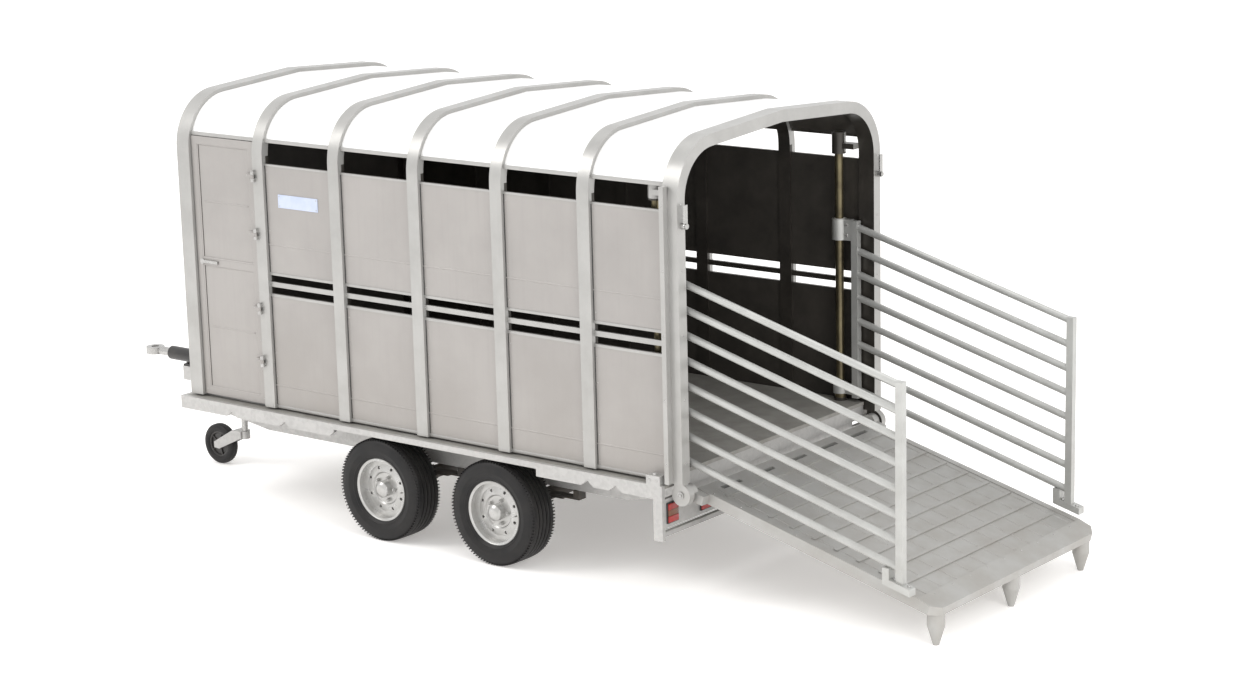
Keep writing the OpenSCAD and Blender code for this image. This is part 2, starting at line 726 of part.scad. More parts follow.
module hoop_1() bay_hoop(0);
module hoop_2() bay_hoop(1);
module hoop_3() bay_hoop(2);
module hoop_4() bay_hoop(3);
module hoop_5() bay_hoop(4);
module hoop_6() bay_hoop(5);

hoop_1();
hoop_2();
hoop_3();
hoop_4();
hoop_5();
hoop_6();
rear_hoop();
rear_posts();
roof_sheets();
upper_panels();
lower_panels();
slat_rails();
front_wall();
box_floor();
box_sills();
gate_rod_near();
gate_rod_far();
rod_brackets();
door_hinge_lugs();
door_hinge_pins();
box_clamps();
platform_deck();
platform_rails();
chassis_frame();
drawbar_frame();
overrun_housing();
axle_front();
axle_rear();
leaf_springs();
spring_hangers();
lamp_board();
lamp_lenses();
ramp_hinge_pins();
jockey_tube();
side_door();
door_latch();
tyre_front_near();
tyre_front_far();
tyre_rear_near();
tyre_rear_far();
rim_front_near();
rim_front_far();
rim_rear_near();
rim_rear_far();
ramp_frame();
ramp_deck();
ramp_lip();
ramp_feet();
gate_near();
gate_far();
gate_bushes_near();
gate_bushes_far();
towing_eye();
brake_lever();
jockey_stem();
jockey_fork();
jockey_wheel();
jockey_crank();
ramp_catch_near();
ramp_catch_far();
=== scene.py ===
import math

import bmesh
import bpy
from mathutils import Matrix, Vector


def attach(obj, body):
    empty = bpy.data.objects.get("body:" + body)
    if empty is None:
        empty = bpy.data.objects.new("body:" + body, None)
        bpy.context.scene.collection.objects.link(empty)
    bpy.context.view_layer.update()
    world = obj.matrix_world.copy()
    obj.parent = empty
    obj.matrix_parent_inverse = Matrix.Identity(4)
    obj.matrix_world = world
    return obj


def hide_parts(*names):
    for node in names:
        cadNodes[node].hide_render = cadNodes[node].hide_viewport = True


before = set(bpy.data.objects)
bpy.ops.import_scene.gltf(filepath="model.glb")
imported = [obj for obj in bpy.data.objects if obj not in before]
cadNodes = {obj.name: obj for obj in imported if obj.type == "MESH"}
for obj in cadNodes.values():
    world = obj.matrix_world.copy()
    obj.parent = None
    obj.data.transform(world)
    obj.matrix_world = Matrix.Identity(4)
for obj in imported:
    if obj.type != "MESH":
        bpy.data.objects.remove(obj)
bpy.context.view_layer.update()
scene = bpy.context.scene
print("frame loaded:", len(cadNodes), "nodes")

boxMiddle = 1.8606417  # the box's front face lies this far ahead of the origin


def atBox(x, y, z):
    # a place given in millimetres from the box's front face
    return Vector((x / 1000 - boxMiddle, y / 1000, z / 1000))


cameraSet = {"target": (0.66237, 0.0, 1.04684), "distance": 15.8257, "turn": 38.46,
             "height": 13.21, "roll": -1.45, "lens": 81.43}


def makeCamera(s):
    turn, height, roll = (math.radians(s[k]) for k in ("turn", "height", "roll"))
    back = Vector((math.sin(turn) * math.cos(height), -math.cos(turn) * math.cos(height), math.sin(height)))
    right = Vector((math.cos(turn), math.sin(turn), 0))
    up = right.cross(-back)
    rightTilted = math.cos(roll) * right + math.sin(roll) * up
    upTilted = math.cos(roll) * up - math.sin(roll) * right
    data = bpy.data.cameras.new("viewCamera")
    data.lens = s["lens"]
    data.sensor_width = 36
    data.clip_end = 400
    camera = bpy.data.objects.new("viewCamera", data)
    scene.collection.objects.link(camera)
    turned = Matrix((rightTilted, upTilted, back)).transposed().to_4x4()
    camera.matrix_world = Matrix.Translation(Vector(s["target"]) + back * s["distance"]) @ turned
    scene.camera = camera


makeCamera(cameraSet)
print("camera placed")


class Net:
    # short way to lay out a node tree
    def __init__(self, tree):
        self.tree = tree

    def add(self, kind, values=None, **settings):
        made = self.tree.nodes.new(kind)
        for key, value in settings.items():
            setattr(made, key, value)
        for key, value in (values or {}).items():
            if isinstance(value, bpy.types.NodeSocket):
                self.tree.links.new(value, made.inputs[key])
            else:
                made.inputs[key].default_value = value
        return made

    def math(self, operation, a, b=0.0, c=0.0):
        made = self.tree.nodes.new("ShaderNodeMath")
        made.operation = operation
        for place, value in enumerate((a, b, c)):
            if isinstance(value, bpy.types.NodeSocket):
                self.tree.links.new(value, made.inputs[place])
            else:
                made.inputs[place].default_value = value
        return made.outputs[0]

    def blend(self, factor, first, second):
        made = self.tree.nodes.new("ShaderNodeMix")
        made.data_type = "RGBA"
        for place, value in ((0, factor), (6, first), (7, second)):
            if isinstance(value, bpy.types.NodeSocket):
                self.tree.links.new(value, made.inputs[place])
            else:
                made.inputs[place].default_value = value
        return made.outputs[2]

    def span(self, value, low, high, toLow, toHigh):
        made = self.add("ShaderNodeMapRange", {"Value": value, "From Min": low, "From Max": high,
                                               "To Min": toLow, "To Max": toHigh})
        return made.outputs[0]

    def noise(self, vector, scale, detail=3.0, rough=0.55):
        made = self.add("ShaderNodeTexNoise", {"Vector": vector, "Scale": scale, "Detail": detail,
                                               "Roughness": rough})
        return made.outputs[0]

    def stretched(self, vector, scale):
        return self.add("ShaderNodeMapping", {"Vector": vector, "Scale": scale}).outputs[0]


def newGroup(name, inputs, outputs):
    tree = bpy.data.node_groups.new(name, "ShaderNodeTree")
    for label, kind, value in inputs:
        made = tree.interface.new_socket(label, in_out="INPUT", socket_type=kind)
        made.default_value = value
    for label, kind in outputs:
        tree.interface.new_socket(label, in_out="OUTPUT", socket_type=kind)
    net = Net(tree)
    return net, net.add("NodeGroupInput").outputs, net.add("NodeGroupOutput").inputs


colourKind = "NodeSocketColor"
valueKind = "NodeSocketFloat"
grey = (0.5, 0.5, 0.5, 1)


def makeAgedFinish():
    # cloudy tone, run-down streaks and dust that gathers near the ground
    net, given, result = newGroup(
        "agedFinish",
        [("Paint", colourKind, grey), ("Shade", colourKind, grey), ("Dust", colourKind, grey),
         ("Cloud Scale", valueKind, 3.0), ("Streaks", valueKind, 0.3), ("Dust Amount", valueKind, 0.2),
         ("Low Roughness", valueKind, 0.35), ("High Roughness", valueKind, 0.55), ("Grain", valueKind, 220.0)],
        [("Color", colourKind), ("Roughness", valueKind), ("Height", valueKind)])
    place = net.add("ShaderNodeTexCoord").outputs["Object"]
    cloud = net.noise(place, given["Cloud Scale"], 5, 0.6)
    runs = net.noise(net.stretched(place, (26, 26, 1.6)), 1.0, 4, 0.6)
    fine = net.noise(place, given["Grain"], 2, 0.5)
    heightZ = net.add("ShaderNodeSeparateXYZ", {"Vector": place}).outputs["Z"]
    shadeMask = net.math("MULTIPLY", net.span(cloud, 0.38, 0.66, 0, 1), 0.7)
    tone = net.blend(shadeMask, given["Paint"], given["Shade"])
    runMask = net.math("MULTIPLY", net.span(runs, 0.5, 0.74, 0, 1), given["Streaks"])
    tone = net.blend(runMask, tone, given["Shade"])
    low = net.span(heightZ, 0.25, 1.5, 1, 0)
    patches = net.span(cloud, 0.35, 0.7, 0.3, 1)
    dustMask = net.math("MULTIPLY", net.math("MULTIPLY", low, patches), given["Dust Amount"])
    tone = net.blend(dustMask, tone, given["Dust"])
    spread = net.math("SUBTRACT", given["High Roughness"], given["Low Roughness"])
    mixed = net.math("ADD", net.math("MULTIPLY", cloud, 0.7), net.math("MULTIPLY", fine, 0.3))
    net.tree.links.new(tone, result["Color"])
    net.tree.links.new(net.math("MULTIPLY_ADD", mixed, spread, given["Low Roughness"]), result["Roughness"])
    net.tree.links.new(net.math("ADD", fine, net.math("MULTIPLY", cloud, 0.6)), result["Height"])
    return net.tree


def makeSpangle():
    # the crystals of hot-dip zinc
    net, given, result = newGroup(
        "zincSpangle",
        [("Light", colourKind, grey), ("Dark", colourKind, grey), ("Crystal Scale", valueKind, 60.0),
         ("Low Roughness", valueKind, 0.35), ("High Roughness", valueKind, 0.6)],
        [("Color", colourKind), ("Roughness", valueKind), ("Height", valueKind)])
    place = net.add("ShaderNodeTexCoord").outputs["Object"]
    cells = net.add("ShaderNodeTexVoronoi",
                    {"Vector": place, "Scale": given["Crystal Scale"], "Randomness": 1.0})
    shade = net.add("ShaderNodeSeparateColor", {"Color": cells.outputs["Color"]}).outputs["Red"]
    cloud = net.noise(place, 4.0, 4, 0.6)
    mask = net.math("MULTIPLY_ADD", shade, 0.45, net.math("MULTIPLY", net.span(cloud, 0.35, 0.7, 0, 1), 0.55))
    net.tree.links.new(net.blend(mask, given["Light"], given["Dark"]), result["Color"])
    spread = net.math("SUBTRACT", given["High Roughness"], given["Low Roughness"])
    net.tree.links.new(net.math("MULTIPLY_ADD", shade, spread, given["Low Roughness"]), result["Roughness"])
    net.tree.links.new(net.math("ADD", shade, cloud), result["Height"])
    return net.tree


def makeInnerMask():
    # where the painted shade of the box's inside goes: 1 on faces that look towards the middle of the box or
    # lie inside its walls, 0 on the others
    net, given, result = newGroup(
        "innerSide",
        [("Centre Height", valueKind, 1.6), ("Towards Rear", valueKind, 0.0), ("Half Width", valueKind, 0.912),
         ("Inside Top", valueKind, 2.13), ("Front End", valueKind, -1.855), ("Rear End", valueKind, 1.69)],
        [("Mask", valueKind)])
    coords = net.add("ShaderNodeTexCoord").outputs
    place = net.add("ShaderNodeSeparateXYZ", {"Vector": coords["Object"]}).outputs
    look = net.add("ShaderNodeSeparateXYZ", {"Vector": coords["Normal"]}).outputs
    sideways = net.math("MULTIPLY", look["Y"], place["Y"])
    above = net.math("MAXIMUM", net.math("SUBTRACT", place["Z"], given["Centre Height"]), 0.0)
    turned = net.math("ADD", sideways, net.math("MULTIPLY", look["Z"], above))
    turned = net.math("SUBTRACT", turned, net.math("MULTIPLY", look["X"], given["Towards Rear"]))
    facesIn = net.math("LESS_THAN", turned, -0.12)
    between = net.math("LESS_THAN", net.math("ABSOLUTE", place["Y"]), given["Half Width"])
    below = net.math("LESS_THAN", place["Z"], given["Inside Top"])
    ahead = net.math("LESS_THAN", place["X"], given["Rear End"])
    behind = net.math("GREATER_THAN", place["X"], given["Front End"])
    within = net.math("MULTIPLY", net.math("MULTIPLY", between, below), net.math("MULTIPLY", ahead, behind))
    net.tree.links.new(net.math("MAXIMUM", facesIn, within), result["Mask"])
    return net.tree


agedFinish = makeAgedFinish()
zincSpangle = makeSpangle()
innerSide = makeInnerMask()
print("node groups made")


def newMaterial(name):
    made = bpy.data.materials.new(name)
    made.use_nodes = True
    net = Net(made.node_tree)
    shader = made.node_tree.nodes["Principled BSDF"]
    return made, net, shader


def finishNet(net, shader, colour, rough, height, depth, strength=0.35):
    bump = net.add("ShaderNodeBump", {"Height": height, "Distance": depth, "Strength": strength})
    net.tree.links.new(colour, shader.inputs["Base Color"])
    net.tree.links.new(rough, shader.inputs["Roughness"])
    net.tree.links.new(bump.outputs[0], shader.inputs["Normal"])


def agedNode(net, s):
    made = net.add("ShaderNodeGroup", node_tree=agedFinish)
    for key, value in s.items():
        made.inputs[key].default_value = value
    return made.outputs


def rgb(r, g, b):
    return (r, g, b, 1)


dust = rgb(0.36, 0.31, 0.25)


def agedMaterial(name, s, metal, depth=0.0004, coat=0.0, inner=None):
    made, net, shader = newMaterial(name)
    out = agedNode(net, s)
    colour = out["Color"]
    # inside faces are painted a near-black shade, blotched between two dark tones
    if inner:
        mask = net.add("ShaderNodeGroup", node_tree=innerSide)
        mask.inputs["Towards Rear"].default_value = inner["towardsRear"]
        mask.inputs["Half Width"].default_value = inner["halfWidth"]
        place = net.add("ShaderNodeTexCoord").outputs["Object"]
        patch = net.span(net.noise(place, 7.0, 5, 0.6), 0.3, 0.7, 0, 1)
        dark = net.blend(patch, inner["dark"], inner["brown"])
        colour = net.blend(mask.outputs["Mask"], colour, dark)
    finishNet(net, shader, colour, out["Roughness"], out["Height"], depth)
    shader.inputs["Metallic"].default_value = metal
    shader.inputs["Coat Weight"].default_value = coat
    shader.inputs["Coat Roughness"].default_value = 0.15
    return made


# near-black painted shade for the inside of the box, where little light reaches
innerPaintedShade = {"towardsRear": 0.0, "halfWidth": 0.912, "dark": rgb(0.034, 0.031, 0.027),
              "brown": rgb(0.058, 0.052, 0.045)}
wallInnerPaintedShade = {**innerPaintedShade, "towardsRear": 1.0, "halfWidth": 0.0}
hoopMetal = agedMaterial("hoopMetal", {
    "Paint": rgb(0.4, 0.396, 0.384), "Shade": rgb(0.335, 0.331, 0.32), "Dust": dust, "Cloud Scale": 5.0,
    "Streaks": 0.25, "Dust Amount": 0.12, "Low Roughness": 0.25, "High Roughness": 0.42}, 0.4, inner=innerPaintedShade)
roofWhite = agedMaterial("roofWhite", {
    "Paint": rgb(0.93, 0.93, 0.925), "Shade": rgb(0.88, 0.88, 0.87), "Dust": dust, "Cloud Scale": 2.2,
    "Streaks": 0.2, "Dust Amount": 0.0, "Low Roughness": 0.25, "High Roughness": 0.42},
    0.0, 0.0003, 0.2, inner=innerPaintedShade)
panelGrey = agedMaterial("panelGrey", {
    "Paint": rgb(0.35, 0.333, 0.32), "Shade": rgb(0.3, 0.286, 0.275), "Dust": dust, "Cloud Scale": 1.8,
    "Streaks": 0.32, "Dust Amount": 0.22, "Low Roughness": 0.36, "High Roughness": 0.56},
    0.25, inner=innerPaintedShade)
wallGrey = agedMaterial("wallGrey", {
    "Paint": rgb(0.35, 0.333, 0.32), "Shade": rgb(0.3, 0.286, 0.275), "Dust": dust, "Cloud Scale": 1.8,
    "Streaks": 0.3, "Dust Amount": 0.18, "Low Roughness": 0.36, "High Roughness": 0.56}, 0.25, inner=wallInnerPaintedShade)
rampMetal = agedMaterial("rampMetal", {
    "Paint": rgb(0.4, 0.4, 0.39), "Shade": rgb(0.335, 0.334, 0.326), "Dust": dust, "Cloud Scale": 6.0,
    "Streaks": 0.1, "Dust Amount": 0.25, "Low Roughness": 0.34, "High Roughness": 0.6}, 0.4)
gateMetal = agedMaterial("gateMetal", {
    "Paint": rgb(0.46, 0.464, 0.45), "Shade": rgb(0.385, 0.387, 0.376), "Dust": dust, "Cloud Scale": 9.0,
    "Streaks": 0.15, "Dust Amount": 0.12, "Low Roughness": 0.26, "High Roughness": 0.46}, 0.45)
darkSteel = agedMaterial("darkSteel", {
    "Paint": rgb(0.05, 0.05, 0.05), "Shade": rgb(0.025, 0.025, 0.025), "Dust": rgb(0.16, 0.13, 0.1),
    "Cloud Scale": 12.0, "Streaks": 0.1, "Dust Amount": 0.45, "Low Roughness": 0.45, "High Roughness": 0.7},
    0.2)
rimSilver = agedMaterial("rimSilver", {
    "Paint": rgb(0.49, 0.49, 0.482), "Shade": rgb(0.39, 0.39, 0.382), "Dust": dust, "Cloud Scale": 12.0,
    "Streaks": 0.0, "Dust Amount": 0.16, "Low Roughness": 0.2, "High Roughness": 0.38}, 0.55, coat=0.3)
blackPaint = agedMaterial("blackPaint", {
    "Paint": rgb(0.018, 0.018, 0.019), "Shade": rgb(0.03, 0.03, 0.03), "Dust": rgb(0.14, 0.12, 0.1),
    "Cloud Scale": 14.0, "Streaks": 0.1, "Dust Amount": 0.2, "Low Roughness": 0.25, "High Roughness": 0.45},
    0.1)
rodBrass = agedMaterial("rodBrass", {
    "Paint": rgb(0.2, 0.17, 0.1), "Shade": rgb(0.06, 0.05, 0.035), "Dust": rgb(0.2, 0.17, 0.12),
    "Cloud Scale": 10.0, "Streaks": 0.5, "Dust Amount": 0.1, "Low Roughness": 0.2, "High Roughness": 0.45},
    0.85)
floorBoard = agedMaterial("floorBoard", {
    "Paint": rgb(0.29, 0.283, 0.265), "Shade": rgb(0.19, 0.186, 0.176), "Dust": rgb(0.26, 0.23, 0.19),
    "Cloud Scale": 8.0, "Streaks": 0.1, "Dust Amount": 0.35, "Low Roughness": 0.5, "High Roughness": 0.75}, 0.0)
bushNylon = agedMaterial("bushNylon", {
    "Paint": rgb(0.72, 0.7, 0.66), "Shade": rgb(0.6, 0.58, 0.53), "Dust": dust, "Cloud Scale": 30.0,
    "Streaks": 0.1, "Dust Amount": 0.1, "Low Roughness": 0.4, "High Roughness": 0.55}, 0.0)
# black rubber for the door seal and grips, also used as painted shade in the panel gaps and under the ramp
# slots
rubberAndPaintedShade = agedMaterial("rubberAndPaintedShade", {
    "Paint": rgb(0.02, 0.02, 0.02), "Shade": rgb(0.035, 0.035, 0.035), "Dust": rgb(0.14, 0.12, 0.1),
    "Cloud Scale": 20.0, "Streaks": 0.2, "Dust Amount": 0.3, "Low Roughness": 0.6, "High Roughness": 0.8}, 0.0)


def spangleMaterial(name, light, dark, scale, low, high, metal):
    made, net, shader = newMaterial(name)
    group = net.add("ShaderNodeGroup", {"Light": light, "Dark": dark, "Crystal Scale": scale,
                                        "Low Roughness": low, "High Roughness": high}, node_tree=zincSpangle)
    out = group.outputs
    finishNet(net, shader, out["Color"], out["Roughness"], out["Height"], 0.0003, 0.25)
    shader.inputs["Metallic"].default_value = metal
    return made


galvanised = spangleMaterial("galvanised", rgb(0.47, 0.463, 0.45), rgb(0.4, 0.394, 0.385),
                             55.0, 0.32, 0.55, 0.4)
platedSteel = spangleMaterial("platedSteel", rgb(0.5, 0.495, 0.485), rgb(0.36, 0.355, 0.345),
                              160.0, 0.22, 0.42, 0.8)


def makeTyreRubber():
    made, net, shader = newMaterial("tyreRubber")
    out = agedNode(net, {"Paint": rgb(0.006, 0.006, 0.0065), "Shade": rgb(0.012, 0.0115, 0.0115),
                         "Dust": rgb(0.06, 0.05, 0.045), "Cloud Scale": 9.0, "Streaks": 0.0,
                         "Dust Amount": 0.12, "Low Roughness": 0.38, "High Roughness": 0.62})
    finishNet(net, shader, out["Color"], out["Roughness"], out["Height"], 0.0006, 0.4)
    shader.inputs["Specular IOR Level"].default_value = 0.3
    return made


tyreRubber = makeTyreRubber()


def makeLens(name, deep, bright):
    # moulded lens with fine vertical flutes behind a smooth face
    made, net, shader = newMaterial(name)
    place = net.add("ShaderNodeTexCoord").outputs["Object"]
    parts = net.add("ShaderNodeSeparateXYZ", {"Vector": place}).outputs
    flutes = net.math("SINE", net.math("MULTIPLY", parts["Y"], 900.0))
    rows = net.math("SINE", net.math("MULTIPLY", parts["Z"], 700.0))
    relief = net.math("MULTIPLY", flutes, rows)
    cloud = net.noise(place, 40.0, 3, 0.5)
    mask = net.math("MULTIPLY_ADD", relief, 0.25, net.math("MULTIPLY", cloud, 0.8))
    rough = net.span(cloud, 0.3, 0.7, 0.1, 0.22)
    finishNet(net, shader, net.blend(mask, deep, bright), rough, relief, 0.0006, 0.5)
    shader.inputs["Coat Weight"].default_value = 0.6
    return made


lensRed = makeLens("lensRed", rgb(0.2, 0.008, 0.008), rgb(0.5, 0.03, 0.025))
lensBrown = makeLens("lensBrown", rgb(0.09, 0.03, 0.015), rgb(0.24, 0.085, 0.03))


def makePlateFace():
    made, net, shader = newMaterial("plateFace")
    out = agedNode(net, {"Paint": rgb(0.50, 0.55, 0.68), "Shade": rgb(0.42, 0.48, 0.62), "Dust": dust,
                         "Cloud Scale": 14.0, "Streaks": 0.2, "Dust Amount": 0.0,
                         "Low Roughness": 0.22, "High Roughness": 0.36})
    finishNet(net, shader, out["Color"], out["Roughness"], out["Height"], 0.0002)
    return made


plateFace = makePlateFace()

nodeFinishes = {
    hoopMetal: ["hoop_1", "hoop_2", "hoop_3", "hoop_4", "hoop_5", "hoop_6", "rear_hoop", "rear_posts",
                "slat_rails",
                "rod_brackets"],
    roofWhite: ["roof_sheets"],
    panelGrey: ["upper_panels", "lower_panels", "side_door"],
    wallGrey: ["front_wall"],
    floorBoard: ["box_floor", "platform_deck"],
    galvanised: ["box_sills", "box_clamps", "platform_rails", "chassis_frame", "drawbar_frame", "lamp_board",
                 "jockey_tube", "jockey_fork"],
    rodBrass: ["gate_rod_near", "gate_rod_far"],
    darkSteel: ["axle_front", "axle_rear", "leaf_springs", "spring_hangers"],
    platedSteel: ["door_hinge_lugs", "door_hinge_pins", "door_latch", "ramp_hinge_pins", "ramp_catch_near",
                  "ramp_catch_far", "jockey_stem", "jockey_crank", "towing_eye"],
    blackPaint: ["overrun_housing", "brake_lever"],
    rimSilver: ["rim_front_near", "rim_front_far", "rim_rear_near", "rim_rear_far"],
    rampMetal: ["ramp_frame", "ramp_deck", "ramp_lip", "ramp_feet"],
    gateMetal: ["gate_near", "gate_far"],
    bushNylon: ["gate_bushes_near", "gate_bushes_far"],
    tyreRubber: ["tyre_front_near", "tyre_front_far", "tyre_rear_near", "tyre_rear_far", "jockey_wheel"],
    lensRed: ["lamp_lenses"]}
for finish, names in nodeFinishes.items():
    for name in names:
        node = cadNodes[name]
        if node.data.materials:
            for place in range(len(node.material_slots)):
                node.material_slots[place].material = finish
        else:
            node.data.materials.append(finish)
print("materials on CAD nodes")

# softened edges on the CAD pieces
edgeRounding = {
    0.006: ["rear_posts"],
    0.003: ["platform_rails", "chassis_frame", "drawbar_frame", "lamp_board", "ramp_frame", "ramp_lip",
            "box_sills", "side_door", "gate_near", "gate_far"],
    0.0015: ["upper_panels", "lower_panels", "slat_rails", "ramp_deck", "leaf_springs", "spring_hangers",
             "box_clamps", "ramp_feet", "jockey_fork", "brake_lever", "rod_brackets", "overrun_housing",
             "ramp_catch_near", "ramp_catch_far", "door_latch", "jockey_crank"]}
for width, names in edgeRounding.items():
    for name in names:
        rounding = cadNodes[name].modifiers.new("roundedEdges", "BEVEL")
        rounding.width = width
        rounding.segments = 2
        rounding.limit_method = "ANGLE"
        rounding.angle_limit = math.radians(50)
        rounding.harden_normals = True

hoopRounding = {"outer": 0.03, "inner": 0.005, "rear": 0.02, "segments": 6}


def roundHoop(node, outer, s):
    # the two long outer edges are rounded a lot, and the others a little
    bm = bmesh.new()
    bm.from_mesh(node.data)
    bmesh.ops.dissolve_limit(bm, angle_limit=math.radians(0.5), verts=bm.verts, edges=bm.edges)
    weight = bm.edges.layers.float.new("bevel_weight_edge")
    for edge in bm.edges:
        looks = [face.normal for face in edge.link_faces]
        if len(looks) != 2 or looks[0].angle(looks[1]) < math.radians(50):
            continue
        looks.sort(key=lambda look: abs(look.x))
        middle = (edge.verts[0].co + edge.verts[1].co) / 2
        away = Vector((0, middle.y, max(middle.z - 1.6, 0)))
        isOuter = abs(looks[1].x) > 0.9 and looks[0].dot(away) > 0
        edge[weight] = 1.0 if isOuter else s["inner"] / outer
    for face in bm.faces:
        face.smooth = True
    bm.to_mesh(node.data)
    bm.free()
    spare = node.data.attributes.get("custom_normal")
    if spare:
        node.data.attributes.remove(spare)
    rounding = node.modifiers.new("roundedEdges", "BEVEL")
    rounding.width = outer
    rounding.segments = s["segments"]
    rounding.limit_method = "WEIGHT"
    rounding.use_clamp_overlap = False
    rounding.harden_normals = True


for hoopNumber in range(1, 7):
    roundHoop(cadNodes[f"hoop_{hoopNumber}"], hoopRounding["outer"], hoopRounding)
roundHoop(cadNodes["rear_hoop"], hoopRounding["rear"], hoopRounding)
print("hoops rounded")


def addBlock(bm, low, high, turn=None):
    # a block with its long edges cut back a little
    cut = min(0.0012, 0.2 * min(high[i] - low[i] for i in range(3)))
    made = bmesh.ops.create_cube(bm, size=1)["verts"]
    middle = (Vector(low) + Vector(high)) / 2
    size = Vector(high) - Vector(low)
    bmesh.ops.transform(bm, matrix=Matrix.Translation(middle) @ Matrix.Diagonal((*size, 1)), verts=made)
    edges = list({e for v in made for e in v.link_edges})
    cornered = bmesh.ops.bevel(bm, geom=edges, offset=cut, segments=2, affect="EDGES", profile=0.6)
    whole = list({v for f in cornered["faces"] for v in f.verts})
    if turn:
        bmesh.ops.transform(bm, matrix=turn, verts=whole)


def addLathe(bm, outline, place, sides=48):
    # outline holds (radius, along) pairs; along runs on the local Z of place
    rings = []
    for radius, along in outline:
        ring = []
        for k in range(sides if radius > 1e-6 else 1):
            angle = 2 * math.pi * k / sides
            spot = Vector((radius * math.cos(angle), radius * math.sin(angle), along))
            ring.append(bm.verts.new(place @ spot))
        rings.append(ring)
    for a, b in zip(rings, rings[1:]):
        for k in range(sides):
            n = (k + 1) % sides
            corners = [a[k % len(a)], a[n % len(a)], b[n % len(b)], b[k % len(b)]]
            kept = []
            for corner in corners:
                if corner not in kept:
                    kept.append(corner)
            if len(kept) > 2:
                bm.faces.new(kept)


def addTube(bm, points, radius, sides=12):
    rings = []
    for i, point in enumerate(points):
        ahead = points[min(i + 1, len(points) - 1)] - points[max(i - 1, 0)]
        ahead.normalize()
        side = ahead.cross(Vector((0, 0, 1)) if abs(ahead.z) < 0.9 else Vector((1, 0, 0))).normalized()
        over = ahead.cross(side)
        rings.append([bm.verts.new(point + radius * (math.cos(2 * math.pi * k / sides) * side
                                                      + math.sin(2 * math.pi * k / sides) * over))
                      for k in range(sides)])
    for a, b in zip(rings, rings[1:]):
        for k in range(sides):
            n = (k + 1) % sides
            bm.faces.new((a[k], a[n], b[n], b[k]))
    bm.faces.new(rings[0][::-1])
    bm.faces.new(rings[-1])


def facing(point, direction):
    # a frame at point whose local Z looks along direction
    return Matrix.Translation(point) @ Vector(direction).to_track_quat("Z", "Y").to_matrix().to_4x4()


def addDome(bm, point, direction, radius, height, sides=10):
    outline = [(radius, 0), (radius * 0.92, height * 0.45), (radius * 0.6, height * 0.85), (0, height)]
    addLathe(bm, outline, facing(point, direction), sides)


def addHexHead(bm, point, direction, radius, height):
    outline = [(radius, 0), (radius, height * 0.8), (radius * 0.86, height), (0, height)]
    addLathe(bm, outline, facing(point, direction), 6)


def addSwage(bm, start, end, out, halfWidth, height):
    # a long half-round rib pressed into a sheet
    start, end, out = Vector(start), Vector(end), Vector(out)
    across = (end - start).normalized().cross(out)
    steps = 6
    section = []
    for k in range(steps + 1):
        angle = math.pi * k / steps
        section.append(across * (halfWidth * math.cos(angle)) + out * (height * math.sin(angle)))
    a = [bm.verts.new(start + p) for p in section]
    b = [bm.verts.new(end + p) for p in section]
    for k in range(steps):
        bm.faces.new((a[k], a[k + 1], b[k + 1], b[k]))
    bm.faces.new(a[::-1])
    bm.faces.new(b)
    bm.faces.new((a[0], b[0], b[-1], a[-1]))


def finishPiece(name, bm, finish, body):
    bmesh.ops.recalc_face_normals(bm, faces=bm.faces)
    mesh = bpy.data.meshes.new(name)
    bm.to_mesh(mesh)
    bm.free()
    for face in mesh.polygons:
        face.use_smooth = True
    mesh.set_sharp_from_angle(angle=math.radians(40))
    mesh.materials.append(finish)
    piece = bpy.data.objects.new(name, mesh)
    scene.collection.objects.link(piece)
    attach(piece, body)
    return piece


bays = [(100, 620), (700, 1216), (1296, 1812), (1892, 2408), (2488, 3004), (3084, 3560)]
sheet = {"face": 920, "upperFold": 1620, "lowerFold": 789, "ribHalf": 5, "ribHeight": 2.2, "capHeight": 16,
         "capOut": 3, "lowerTop": 1331, "upperFoot": 1441, "upperTop": 2087, "lowerFoot": 655,
         "rivetRadius": 4.2, "rivetHeight": 2.4, "rivetInset": 14,
         "rivetRows": (700, 840, 980, 1120, 1260, 1500, 1700, 1880, 2040), "shadowGapWidth": 5}
panelSides = [(side, bay) for side in (-1, 1) for bay in range(6) if side > 0 or bay > 0]


def makePanelRibs(s):
    bm = bmesh.new()
    for side, bay in panelSides:
        x0, x1 = bays[bay]
        for z in (s["upperFold"], s["lowerFold"]):
            addSwage(bm, atBox(x0 + 2, side * s["face"], z), atBox(x1 - 2, side * s["face"], z), (0, side, 0),
                     s["ribHalf"] / 1000, s["ribHeight"] / 1000)
    finishPiece("panelRibs", bm, wallGrey, "trailer")


def makePanelCaps(s):
    # folded edges along the top and bottom of each sheet
    bm = bmesh.new()
    folds = ((s["lowerTop"] - s["capHeight"], s["lowerTop"]), (s["upperFoot"], s["upperFoot"] + s["capHeight"]),
             (s["upperTop"] - 12, s["upperTop"]), (s["lowerFoot"], s["lowerFoot"] + 17))
    for side, bay in panelSides:
        x0, x1 = bays[bay]
        for z0, z1 in folds:
            inner, outer = sorted((side * (s["face"] - 0.5), side * (s["face"] + s["capOut"])))
            addBlock(bm, atBox(x0 + 1, inner, z0), atBox(x1 - 1, outer, z1))
    finishPiece("panelCaps", bm, hoopMetal, "trailer")


def makeRivets(s):
    bm = bmesh.new()
    radius, height = s["rivetRadius"] / 1000, s["rivetHeight"] / 1000
    for side, bay in panelSides:
        for x in (bays[bay][0] + s["rivetInset"], bays[bay][1] - s["rivetInset"]):
            for z in s["rivetRows"]:
                addDome(bm, atBox(x, side * s["face"], z), (0, side, 0), radius, height)
    finishPiece("sheetRivets", bm, platedSteel, "trailer")


